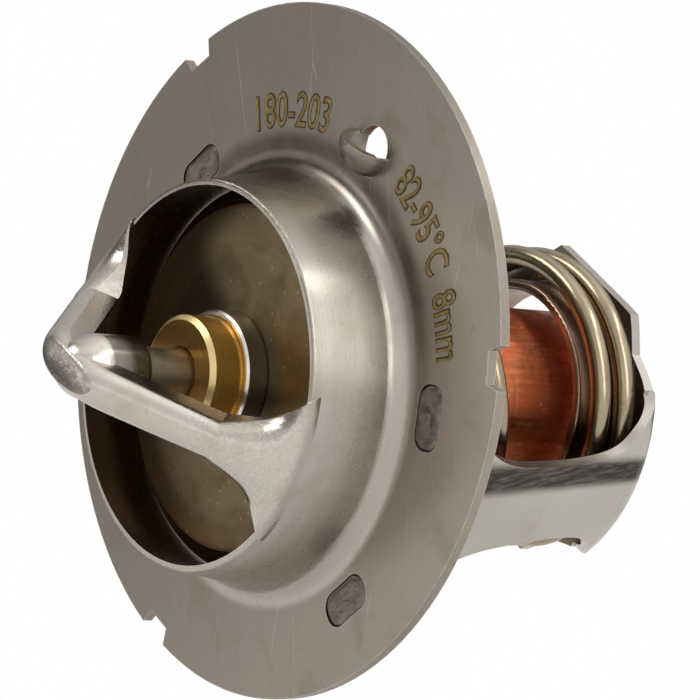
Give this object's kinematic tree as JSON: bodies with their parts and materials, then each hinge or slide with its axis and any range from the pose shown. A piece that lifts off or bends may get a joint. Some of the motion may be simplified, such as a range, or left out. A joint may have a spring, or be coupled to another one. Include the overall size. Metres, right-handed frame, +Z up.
{
  "type": "engine coolant thermostat",
  "caption": "Flanged engine coolant thermostat: drawn steel flange with an arched bridge, sprung disc valve and copper wax element in a stamped frame.",
  "frame": {"origin": "middle of the flange's round outline, on its front face; the hat, valve and spring share an axis 0.7 mm towards -X and 2.7 mm towards -Z of it", "axes": "+Z up, axis of the valve along Y with the bridge towards -Y and the element towards +Y"},
  "size_m": [0.064, 0.0584, 0.064],
  "materials": {
    "satin_steel": "satin pressed stainless sheet",
    "bright_steel": "bright pressed stainless sheet",
    "pin_steel": "ground stainless rod, dulled",
    "brass": "turned brass",
    "washer_plastic": "white washer",
    "boot_rubber": "moulded rubber",
    "wax": "wax with copper powder",
    "copper": "drawn copper, mottled by heat",
    "disc_steel": "pressed stainless disc",
    "spring_steel": "bright spring wire"
  },
  "bodies": {
    "housing_side": {"flange_bridge": "satin_steel", "lower_frame": "bright_steel", "piston_pin": "pin_steel", "main_spring": "spring_steel"},
    "valve": {"valve_disc": "disc_steel", "guide_body": "brass", "element_cup": "copper", "rubber_boot": "boot_rubber", "wax_charge": "wax", "backup_washer": "washer_plastic"}
  },
  "joints": [
    {"name": "valve_lift", "type": "slide", "parent": "housing_side", "child": "valve", "axis": [0, 1, 0], "range_m": [0, 0.008], "stiffness_N_per_m": 3600, "springref_m": -0.008, "deforming": ["main_spring"]}
  ]
}
